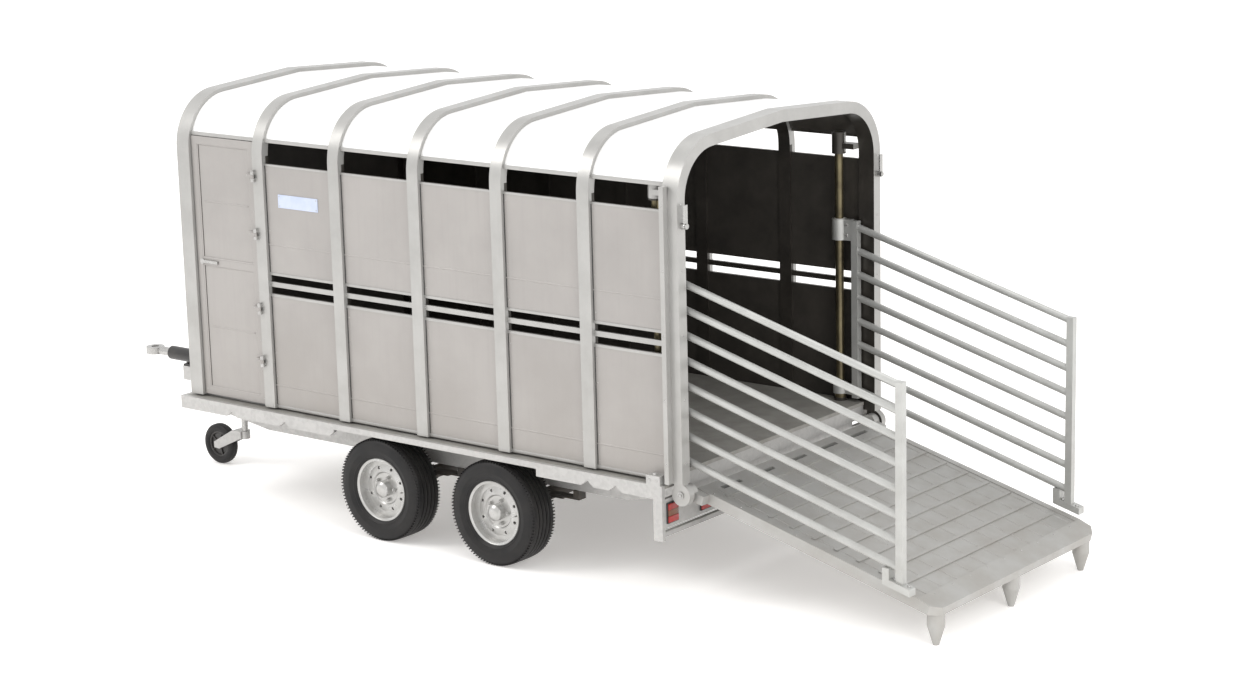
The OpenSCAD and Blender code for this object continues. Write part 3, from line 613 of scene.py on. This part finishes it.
def makeEaveStrips():
    # drip strip under each roof sheet
    bm = bmesh.new()
    for side in (-1, 1):
        for x0, x1 in bays:
            low, high = sorted((side * 905, side * 914))
            addBlock(bm, atBox(x0 + 1, low, 2208), atBox(x1 - 1, high, 2229))
    finishPiece("eaveStrips", bm, hoopMetal, "trailer")


plateSet = {"x0": 797, "x1": 1108, "z0": 1842, "z1": 1919, "face": -924, "back": -919.5, "screwInset": 11}


def makeNamePlate(s):
    # blank plate on the second bay
    bm = bmesh.new()
    addBlock(bm, atBox(s["x0"], s["face"], s["z0"]), atBox(s["x1"], s["back"], s["z1"]))
    finishPiece("blankPlate", bm, plateFace, "trailer")
    bm = bmesh.new()
    for x in (s["x0"] + s["screwInset"], s["x1"] - s["screwInset"]):
        for z in (s["z0"] + s["screwInset"], s["z1"] - s["screwInset"]):
            addDome(bm, atBox(x, s["face"], z), (0, -1, 0), 0.004, 0.002)
    finishPiece("plateScrews", bm, platedSteel, "trailer")


doorSet = {"x0": 104, "x1": 612, "z0": 660, "z1": 2205, "border": 42, "barLow": 1447, "barHigh": 1483,
           "face": -920, "strapFace": -934, "hinges": (2012, 1675, 1237, 925),
           "rivetRows": (690, 860, 1040, 1320, 1560, 1800, 2110)}


def makeDoorTrim(s):
    # beads round the two sunk fields, and the rubber strip down the leading edge
    bm = bmesh.new()
    for z0, z1 in ((s["z0"] + s["border"], s["barLow"]), (s["barHigh"], s["z1"] - s["border"])):
        x0, x1, y = s["x0"] + s["border"], s["x1"] - s["border"], s["face"] + 7.6
        corners = [(x0, z0), (x1, z0), (x1, z1), (x0, z1)]
        for (xa, za), (xb, zb) in zip(corners, corners[1:] + corners[:1]):
            addSwage(bm, atBox(xa, y, za), atBox(xb, y, zb), (0, -1, 0), 0.01, 0.0065)
        z = (z0 + z1) / 2
        addSwage(bm, atBox(x0 + 30, y, z), atBox(x1 - 30, y, z), (0, -1, 0), 0.005, 0.002)
    finishPiece("doorBeads", bm, wallGrey, "side_door")
    bm = bmesh.new()
    for z in s["hinges"]:
        for x in (568, 592):
            addDome(bm, atBox(x, s["strapFace"], z), (0, -1, 0), 0.0045, 0.0025)
    for x in (s["x0"] + 18, s["x1"] - 18):
        for z in s["rivetRows"]:
            addDome(bm, atBox(x, s["face"], z), (0, -1, 0), 0.0036, 0.002)
    finishPiece("doorRivets", bm, platedSteel, "side_door")
    bm = bmesh.new()
    addBlock(bm, atBox(s["x0"] - 3, -906, s["z0"] + 4), atBox(s["x0"] + 0.5, -901, s["z1"] - 4))
    finishPiece("doorSeal", bm, rubberAndPaintedShade, "side_door")


def makePanelShadowGaps(s):
    # dark strips painted as the shadow in the gap between each sheet and its hoops
    bm = bmesh.new()
    for side, bay in panelSides:
        start, end = bays[bay]
        for x0, x1 in ((start, start + s["shadowGapWidth"]), (end - s["shadowGapWidth"], end)):
            inner, outer = sorted((side * (s["face"] - 0.5), side * (s["face"] + 1.6)))
            for z0, z1 in ((s["lowerFoot"] - 1, s["lowerTop"] - 1), (s["upperFoot"] + 1, s["upperTop"] - 1)):
                addBlock(bm, atBox(x0, inner, z0), atBox(x1, outer, z1))
    finishPiece("panelShadowGaps", bm, rubberAndPaintedShade, "trailer")


makePanelRibs(sheet)
makePanelShadowGaps(sheet)
makePanelCaps(sheet)
makeRivets(sheet)
makeEaveStrips()
makeNamePlate(plateSet)
makeDoorTrim(doorSet)
print("box details made")

tyre = {"radius": 0.298, "bead": 0.1812, "half": 0.1, "grooves": (-0.045, -0.015, 0.015, 0.045),
        "grooveHalf": 0.0035, "grooveDepth": 0.006, "blocks": 96}
wheelHeight = 298
wheelPlaces = {("front", "near"): (1538, -886), ("front", "far"): (1538, 886),
               ("rear", "near"): (2378, -886), ("rear", "far"): (2378, 886)}


def tyreOutline(s):
    half, top, bead, deep = s["half"], s["radius"], s["bead"], s["radius"] - s["grooveDepth"]
    side = [(bead, -half * 0.80), (bead + 0.012, -half * 0.90), (bead + 0.016, -half * 0.93),
            (bead + 0.02, -half * 0.91), (bead + 0.045, -half * 0.985), (bead + 0.05, -half * 0.998),
            (bead + 0.055, -half * 0.988), (bead + 0.075, -half * 0.985), (top - 0.026, -half * 0.945),
            (top - 0.014, -half * 0.90), (top - 0.005, -half * 0.80), (top - 0.001, -half * 0.70)]
    tread = []
    wide = s["grooveHalf"]
    for g in s["grooves"]:
        tread += [(top, g - wide - 0.002), (top - 0.0008, g - wide), (deep, g - wide * 0.6),
                  (deep, g + wide * 0.6), (top - 0.0008, g + wide), (top, g + wide + 0.002)]
    other = [(r, -z) for r, z in side[::-1]]
    return side + tread + other


def makeTyres(s):
    for (axle, side), (x, y) in wheelPlaces.items():
        out = -1 if y < 0 else 1
        place = facing(atBox(x, y, wheelHeight), (0, out, 0))
        bm = bmesh.new()
        addLathe(bm, tyreOutline(s), place, 144)
        # shoulder sipes
        for k in range(s["blocks"]):
            angle = 2 * math.pi * k / s["blocks"]
            for end in (-1, 1):
                shoulder = Matrix.Translation((s["radius"] - 0.0062, 0, end * s["half"] * 0.86))
                spot = place @ Matrix.Rotation(angle, 4, "Z") @ shoulder
                addBlock(bm, (-0.0035, -0.0032, -0.0075), (0.0035, 0.0032, 0.0075), spot)
        body = f"wheel_{axle}_{side}"
        piece = finishPiece(f"tyre{axle.title()}{side.title()}", bm, tyreRubber, body)
        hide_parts(f"tyre_{axle}_{side}")


rimSet = {"capStart": 0.0735, "valveRing": 0.149, "nuts": 5, "nutRing": 0.068, "nutFace": 0.0499}


def makeRimTrim(s):
    for (axle, side), (x, y) in wheelPlaces.items():
        out = -1 if y < 0 else 1
        place = facing(atBox(x, y, wheelHeight), (0, out, 0))
        body = f"wheel_{axle}_{side}"
        bm = bmesh.new()
        start = s["capStart"]
        cap = ((0.0462, -0.006), (0.0466, 0), (0.044, 0.004), (0.038, 0.006),
               (0.034, 0.011), (0.022, 0.0145), (0.012, 0.0155), (0, 0.0158))
        addLathe(bm, [(radius, start + along) for radius, along in cap], place, 48)
        # pressed ring on the rim's lip
        addLathe(bm, [(0.1745, 0.0765), (0.1765, 0.0795), (0.1795, 0.0805), (0.1812, 0.0785)], place, 96)
        finishPiece(f"hubCap{axle.title()}{side.title()}", bm, rimSilver, body)
        bm = bmesh.new()
        foot = place @ Vector((s["valveRing"], 0, 0.034))
        tip = place @ Vector((s["valveRing"] - 0.012, 0, 0.066))
        addTube(bm, [foot, foot.lerp(tip, 0.5), tip], 0.004, 10)
        for k in range(s["nuts"]):
            turn = Matrix.Rotation(2 * math.pi * k / s["nuts"], 4, "Z")
            nut = place @ turn @ Vector((s["nutRing"], 0, s["nutFace"]))
            addDome(bm, nut, (0, out, 0), 0.0075, 0.008, 12)
        finishPiece(f"wheelStuds{axle.title()}{side.title()}", bm, platedSteel, body)


axleBolts = {"x": (1538, 2378), "y": (-665, 665), "spanX": 43, "spanY": 24, "foot": 306, "middle": 350,
             "top": 402, "nut": 388}


def makeAxleBolts(s):
    # U-bolts that clamp each axle to its springs
    bm = bmesh.new()
    legs = [(x + dx, y + dy) for x in s["x"] for y in s["y"]
            for dx in (-s["spanX"], s["spanX"]) for dy in (-s["spanY"], s["spanY"])]
    for x, y in legs:
        addTube(bm, [atBox(x, y, s[z]) for z in ("foot", "middle", "top")], 0.005, 10)
        addHexHead(bm, atBox(x, y, s["nut"]), (0, 0, 1), 0.009, 0.009)
    finishPiece("axleBolts", bm, platedSteel, "trailer")


makeTyres(tyre)
makeRimTrim(rimSet)
makeAxleBolts(axleBolts)
print("wheels made")

rampSlope = math.radians(14.8)
rampSpace = Matrix.Translation(atBox(3640, 0, 592)) @ Matrix.Rotation(rampSlope, 4, "Y")
rampSet = {"start": 0.074, "end": 1.404, "top": 0.0206, "half": 0.755, "strips": 11, "stripHalf": 0.004,
           "stripHeight": 0.003, "slotPitch": 0.3, "slotHalf": 0.095, "slotStart": 0.066, "slotEnd": 0.104}


def rampPoint(u, y, w):
    return rampSpace @ Vector((u, y, w))


def makeRampStrips(s):
    # raised lines that run down the ramp, rivets, and dark plates under the slots that paint the shade seen
    # through them
    bm = bmesh.new()
    up = (rampSpace.to_3x3() @ Vector((0, 0, 1))).normalized()
    for k in range(s["strips"]):
        y = -s["half"] + 0.03 + k * (2 * s["half"] - 0.06) / (s["strips"] - 1)
        first = 0.125 if abs(y) < 0.66 else s["start"]
        low = s["top"] - 0.0006
        addSwage(bm, rampPoint(first, y, low), rampPoint(s["end"], y, low), up,
                 s["stripHalf"], s["stripHeight"])
    finishPiece("rampStrips", bm, rampMetal, "ramp")
    bm = bmesh.new()
    for y in (-0.793, 0.793):
        for k in range(8):
            addDome(bm, rampPoint(0.11 + k * 0.18, y, 0.0239), up, 0.0055, 0.003)
    for k in range(9):
        addDome(bm, rampPoint(1.428, -0.68 + k * 0.17, 0.0215), up, 0.0055, 0.003)
    finishPiece("rampRivets", bm, platedSteel, "ramp")
    bm = bmesh.new()
    for k in range(-2, 3):
        y = k * s["slotPitch"]
        addBlock(bm, (s["slotStart"], y - s["slotHalf"], -0.0045), (s["slotEnd"], y + s["slotHalf"], -0.0005),
                 rampSpace)
    finishPiece("rampSlotShade", bm, rubberAndPaintedShade, "ramp")


gateSet = {"inX": 3560, "outX": 4931, "barRadius": 19, "bars": 8, "topOut": 1335, "pitch": 134, "slope": 0.277,
           "footZ": 292, "shoeHeight": 36, "plateBolts": (1660, 1720, 772)}


def makeGateDetails(s):
    lean = math.atan(s["slope"])
    for name, y in (("near", -842), ("far", 842)):
        bm = bmesh.new()
        for i in range(s["bars"]):
            for x, end in ((s["inX"] + 20, 1), (s["outX"] - 20, -1)):
                z = s["topOut"] - s["pitch"] * i + s["slope"] * (s["outX"] - x)
                along = Vector((math.cos(lean) * end, 0, -math.sin(lean) * end))
                place = facing(atBox(x, y, z), along)
                r = s["barRadius"] / 1000
                bead = [(r + 0.0005, -0.004), (r + 0.0009, 0.001), (r + 0.0006, 0.0035), (r - 0.0005, 0.006)]
                addLathe(bm, bead, place, 20)
        finishPiece(f"gateWelds{name.title()}", bm, gateMetal, f"gate_{name}")
        bm = bmesh.new()
        for x, z in ((s["inX"], 1742), (s["outX"], 1352)):
            addBlock(bm, atBox(x - 19.5, y - 19.5, z - 1), atBox(x + 19.5, y + 19.5, z + 3.5))
        finishPiece(f"gatePostCaps{name.title()}", bm, gateMetal, f"gate_{name}")
        bm = bmesh.new()
        for x in (4893, 4978):
            z = s["footZ"] + s["shoeHeight"] + (s["outX"] - x) * math.tan(rampSlope)
            addHexHead(bm, atBox(x, y, z - 1), (0.255, 0, 0.967), 0.011, 0.008)
        for z in s["plateBolts"]:
            for side in (-1, 1):
                addHexHead(bm, atBox(3510, y + 15.5 * side, z), (0, side, 0), 0.009, 0.0055)
        finishPiece(f"gateBolts{name.title()}", bm, platedSteel, f"gate_{name}")


makeRampStrips(rampSet)
makeGateDetails(gateSet)
print("ramp and gates made")

lampSet = {"front": 3558, "low": 430, "high": 542, "deep": 14, "places": (565, 855), "width": 95, "wall": 5}


def makeLamps(s):
    frames, reds, browns = bmesh.new(), bmesh.new(), bmesh.new()
    for side in (-1, 1):
        for start in s["places"]:
            low, high = sorted((side * start, side * (start + s["width"])))
            x, wall = s["front"], s["wall"]
            for a, b in (((low, s["low"]), (low + wall, s["high"])),
                         ((high - wall, s["low"]), (high, s["high"])),
                         ((low + wall, s["low"]), (high - wall, s["low"] + wall)),
                         ((low + wall, s["high"] - wall), (high - wall, s["high"]))):
                addBlock(frames, atBox(x, a[0], a[1]), atBox(x + 9, b[0], b[1]))
            third = (s["high"] - s["low"] - 2 * wall) / 3
            for row in range(3):
                z = s["low"] + wall + row * third
                target, face = (browns, s["deep"] - 1.5) if row == 1 else (reds, s["deep"])
                addBlock(target, atBox(x + 0.4, low + wall, z + 0.8),
                         atBox(x + face, high - wall, z + third - 0.8))
    finishPiece("lampFrames", frames, blackPaint, "trailer")
    red = finishPiece("lampLensRed", reds, lensRed, "trailer")
    finishPiece("lampLensMiddle", browns, lensBrown, "trailer")
    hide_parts("lamp_lenses")


jockeySet = {"x": -452, "y": -300, "z": 127, "radius": 0.127}


def makeJockeyWheel(s):
    place = facing(atBox(s["x"], s["y"], s["z"]), (0, -1, 0))
    bm = bmesh.new()
    top = s["radius"]
    half = [(0.082, 0.022), (0.09, 0.0285), (0.1, 0.03), (0.113, 0.029), (0.121, 0.025), (0.1255, 0.018),
            (top, 0.011), (top, 0.004), (top - 0.002, 0.0025)]
    outline = [(0.082, 0.0)] + half + [(r, -z) for r, z in half[::-1]] + [(0.082, 0.0)]
    addLathe(bm, outline, place, 72)
    rubber = finishPiece("jockeyTyre", bm, tyreRubber, "jockey_wheel")
    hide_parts("jockey_wheel")
    bm = bmesh.new()
    hub = ((0.0085, 0.03), (0.02, 0.03), (0.022, 0.027), (0.023, 0.01), (0.03, 0.008), (0.068, 0.008),
           (0.072, 0.018), (0.079, 0.021), (0.0822, 0.02))
    for end in (-1, 1):
        addLathe(bm, [(radius, end * along) for radius, along in hub], place, 48)
        for k in range(5):
            spot = place @ Matrix.Rotation(2 * math.pi * k / 5, 4, "Z")
            low, high = sorted((end * 0.0075, end * 0.016))
            addBlock(bm, (0.022, -0.003, low), (0.072, 0.003, high), spot)
    finishPiece("jockeyHub", bm, blackPaint, "jockey_wheel")


def ribbedGrip(start, radius, rib, pitch, ribs):
    # the start of a grip's outline and its ribs, which stand proud on every other step
    return [(start, 0.0)] + [(radius + (rib if k % 2 else 0), 0.003 + pitch * k) for k in range(ribs)]


gripSet = {"crank": (-122, -300, 914), "lever": (-656, 62, 622)}


def makeGrips(s):
    bm = bmesh.new()
    outline = ribbedGrip(0.0105, 0.0118, 0.0012, 0.0045, 14) + [(0.0105, 0.068), (0, 0.0685)]
    addLathe(bm, outline, facing(atBox(*s["crank"]), (0, 0, 1)), 24)
    finishPiece("crankGrip", bm, rubberAndPaintedShade, "jockey_crank")
    bm = bmesh.new()
    outline = ribbedGrip(0.0142, 0.0158, 0.0014, 0.005, 18) + [(0.015, 0.1), (0, 0.1005)]
    addLathe(bm, outline, facing(atBox(*s["lever"]), (1, 0, 0)), 24)
    finishPiece("leverGrip", bm, rubberAndPaintedShade, "brake_lever")


frameBolts = {"sideFace": 984, "sleeveX": (3476, 3522), "sleeveZ": 664, "railZ": 622,
              "railX": (60, 300, 560, 800, 1040, 2760, 3000, 3380), "hinge": (3640, 938, 592),
              "postZ": (760, 1100, 1440, 1780, 2120)}


def makeFrameBolts(s):
    bm = bmesh.new()
    hingeX, hingeY, hingeZ = s["hinge"]
    for side in (-1, 1):
        for x in s["sleeveX"]:
            addHexHead(bm, atBox(x, side * s["sideFace"], s["sleeveZ"]), (0, side, 0), 0.0095, 0.0015)
        for x in s["railX"]:
            addDome(bm, atBox(x, side * (s["sideFace"] + 0.2), s["railZ"]), (0, side, 0), 0.006, 0.0007)
        addHexHead(bm, atBox(hingeX, side * hingeY, hingeZ), (0, side, 0), 0.012, 0.006)
        for z in s["postZ"]:
            addDome(bm, atBox(3584, side * 975, z), (0, side, 0), 0.006, 0.003)
            addDome(bm, atBox(3660, side * 908, z), (1, 0, 0), 0.0065, 0.003)
    finishPiece("frameBolts", bm, platedSteel, "trailer")


makeLamps(lampSet)
makeJockeyWheel(jockeySet)
makeGrips(gripSet)
makeFrameBolts(frameBolts)
print("lamps and drawbar made")


def makeFloor():
    bm = bmesh.new()
    bmesh.ops.create_grid(bm, x_segments=8, y_segments=8, size=90)
    mesh = bpy.data.meshes.new("studioFloor")
    bm.to_mesh(mesh)
    bm.free()
    made, net, shader = newMaterial("studioFloor")
    place = net.add("ShaderNodeTexCoord").outputs["Object"]
    cloud = net.noise(place, 0.6, 2, 0.5)
    colour = net.blend(cloud, rgb(0.93, 0.925, 0.92), rgb(0.95, 0.948, 0.945))
    net.tree.links.new(colour, shader.inputs["Base Color"])
    shader.inputs["Roughness"].default_value = 0.75
    shader.inputs["Emission Color"].default_value = (1.0, 0.965, 0.935, 1)
    shader.inputs["Emission Strength"].default_value = 0.3
    mesh.materials.append(made)
    floor = bpy.data.objects.new("studioFloor", mesh)
    floor.location.z = -0.0005
    scene.collection.objects.link(floor)


lights = {
    "keyLight": {"at": (-5.0, -6.5, 7.5), "aim": (0.4, 0, 1.0), "size": 4.5, "power": 330},
    "skyLight": {"at": (0.5, 1.0, 9.0), "aim": (0.5, 0, 1.2), "size": 7.0, "power": 130},
    "rearLight": {"at": (9.0, -3.5, 4.5), "aim": (1.6, 0, 1.0), "size": 4.0, "power": 230}}


def makeLights(s):
    for name, light in s.items():
        data = bpy.data.lights.new(name, "AREA")
        data.shape = "DISK"
        data.size = light["size"]
        data.energy = light["power"]
        data.color = (1.0, 0.985, 0.965)
        made = bpy.data.objects.new(name, data)
        made.matrix_world = facing(Vector(light["at"]), Vector(light["at"]) - Vector(light["aim"]))
        scene.collection.objects.link(made)
    world = bpy.data.worlds.new("studioWorld")
    world.use_nodes = True
    sky = world.node_tree.nodes["Background"]
    sky.inputs["Color"].default_value = (1.0, 1.0, 1.0, 1)
    sky.inputs["Strength"].default_value = 1.08
    scene.world = world
    scene.view_settings.view_transform = "Standard"


apronSet = {"x0": 3578, "x1": 3584, "half": 760, "z0": 538, "z1": 612, "boltPitch": 190}


def makeApron(s):
    # plate under the rear sill, with a row of bolts, that closes the gap above the lamp board
    bm = bmesh.new()
    addBlock(bm, atBox(s["x0"], -s["half"], s["z0"]), atBox(s["x1"], s["half"], s["z1"]))
    finishPiece("sillApron", bm, galvanised, "trailer")
    bm = bmesh.new()
    for k in range(-3, 4):
        addHexHead(bm, atBox(s["x1"], k * s["boltPitch"], s["z0"] + 20), (1, 0, 0), 0.007, 0.004)
    finishPiece("apronBolts", bm, platedSteel, "trailer")


makeApron(apronSet)
print("apron made")

makeFloor()
makeLights(lights)
print("floor and lights placed")
